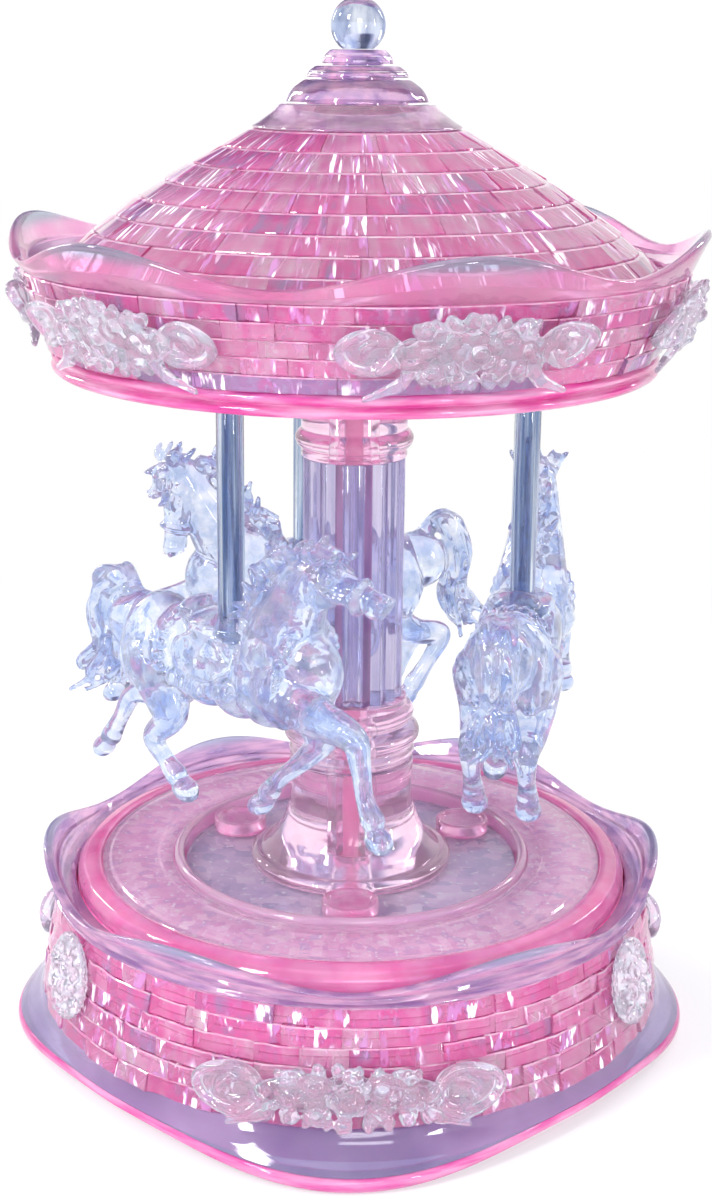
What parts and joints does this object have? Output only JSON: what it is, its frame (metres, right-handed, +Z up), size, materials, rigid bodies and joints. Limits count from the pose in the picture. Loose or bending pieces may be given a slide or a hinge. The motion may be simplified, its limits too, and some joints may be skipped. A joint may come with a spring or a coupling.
{
  "type": "carousel music box",
  "caption": "Table-top carousel music box of clear and pink moulded plastic: scalloped base, fluted column, brick canopy and leaping horses on poles that turn.",
  "frame": {"origin": "on the turning axis, in the plane that the box stands on", "axes": "+Z up along the turning axis, -Y to the front, +X to the right"},
  "size_m": [0.116, 0.116, 0.1699],
  "materials": {
    "brick_pink": "clear pink moulded plastic bricks with polished faces",
    "hot_pink": "deep clear pink moulded plastic, polished",
    "pale_pink": "pale clear pink moulded plastic, polished",
    "clear_lilac": "clear moulded plastic with a lilac cast",
    "crystal": "water clear moulded plastic",
    "cover_pink": "matt pink plastic",
    "brass": "bright turned brass",
    "steel": "ground steel",
    "zinc": "die cast movement frame"
  },
  "bodies": {
    "base": {"base_course_1": "brick_pink", "base_course_2": "brick_pink", "base_course_3": "brick_pink", "base_course_4": "brick_pink", "deck_ring": "hot_pink", "deck_plate": "pale_pink", "well_lip": "pale_pink", "well_studs": "pale_pink", "pedestal_foot": "pale_pink", "pedestal_mouldings": "pale_pink", "top_bush": "pale_pink", "base_skirt": "clear_lilac", "base_collar": "clear_lilac", "well_floor": "clear_lilac", "column_shaft": "clear_lilac", "column_capital": "clear_lilac", "base_garlands": "crystal", "base_medallions": "crystal", "movement_cover": "cover_pink", "base_plate": "cover_pink", "comb_block": "brass", "comb": "steel", "comb_screws": "steel", "frame_screws": "steel", "movement_frame": "zinc"},
    "rotor": {"spring_barrel": "brass", "crown_wheel": "brass", "mainspring": "steel", "drive_shaft": "hot_pink", "canopy_hub": "pale_pink", "canopy_ceiling": "pale_pink", "canopy_rim": "hot_pink", "canopy_course_1": "brick_pink", "canopy_course_2": "brick_pink", "canopy_course_3": "brick_pink", "canopy_crown": "hot_pink", "roof_course_1": "brick_pink", "roof_course_2": "brick_pink", "roof_course_3": "brick_pink", "roof_course_4": "brick_pink", "roof_course_5": "brick_pink", "roof_neck": "pale_pink", "cap_lower": "pale_pink", "cap_middle": "pale_pink", "cap_upper": "pale_pink", "finial": "crystal", "pole_1": "crystal", "pole_2": "crystal", "pole_3": "crystal", "horse_1": "crystal", "horse_2": "crystal", "horse_3": "crystal", "canopy_garlands": "crystal"},
    "key": {"winding_key": "brass", "winding_arbor": "steel"},
    "drum": {"music_drum": "brass", "drum_pinion": "steel", "drum_gear": "brass"},
    "governor": {"governor_wheel": "brass"},
    "fan": {"governor_fan": "steel"}
  },
  "joints": [
    {"name": "canopy_spin", "type": "hinge", "parent": "base", "child": "rotor", "pos_m": [0, 0, 0.115], "axis": [0, 0, 1], "continuous": true},
    {"name": "key_wind", "type": "hinge", "parent": "base", "child": "key", "pos_m": [0, 0, 0.004], "axis": [0, 0, 1], "range_deg": [0, 2160]},
    {"name": "drum_spin", "type": "hinge", "parent": "base", "child": "drum", "pos_m": [0.02, 0, 0.0175], "axis": [1, 0, 0], "continuous": true},
    {"name": "governor_spin", "type": "hinge", "parent": "base", "child": "governor", "pos_m": [0.03, 0.01, 0.0175], "axis": [1, 0, 0], "continuous": true},
    {"name": "fan_spin", "type": "hinge", "parent": "base", "child": "fan", "pos_m": [0.03, 0.02, 0.0175], "axis": [1, 0, 0], "continuous": true}
  ],
  "couplings": [
    {"joint": "drum_spin", "follows": "canopy_spin", "ratio": 4},
    {"joint": "governor_spin", "follows": "canopy_spin", "ratio": -12},
    {"joint": "fan_spin", "follows": "canopy_spin", "ratio": 36}
  ]
}
